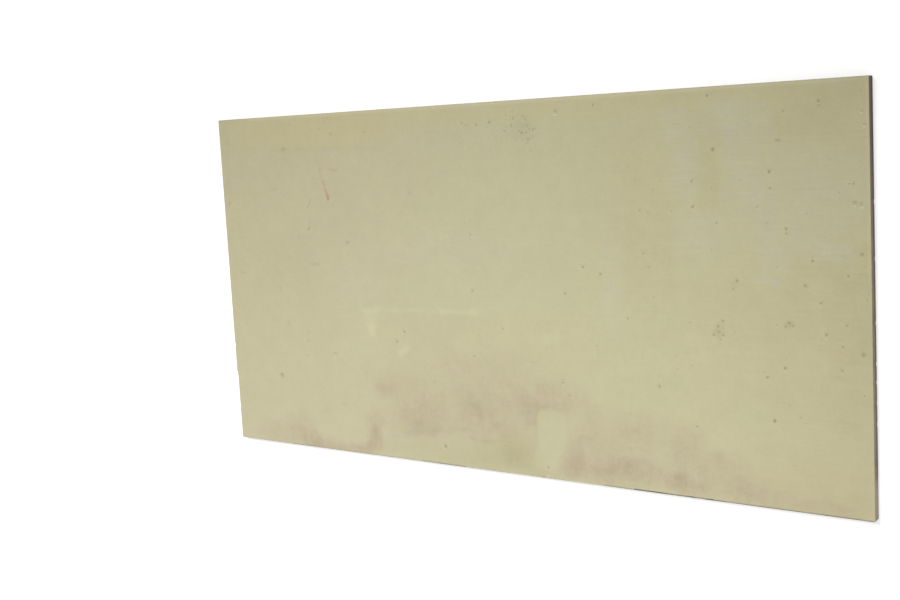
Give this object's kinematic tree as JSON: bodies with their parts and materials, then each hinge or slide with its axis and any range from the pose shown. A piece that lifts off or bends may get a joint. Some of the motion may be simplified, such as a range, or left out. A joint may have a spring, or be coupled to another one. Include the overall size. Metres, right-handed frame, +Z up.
{
  "type": "faux stone wall panel",
  "caption": "Flat moulded faux stone wall panel: a plain rigid rectangular sheet with a smooth pitted cream face, square grey-brown edges and a plain underside.",
  "frame": {"origin": "centre of the underside, on the floor that the sheet lies on", "axes": "+X along the length, +Y across the width, +Z up out of the smooth face"},
  "size_m": [2.44, 1.22, 0.034],
  "materials": {
    "moulded_sheet": "moulded, matt to satin, weathered"
  },
  "bodies": {
    "root": {"panel": "moulded_sheet"}
  },
  "joints": []
}
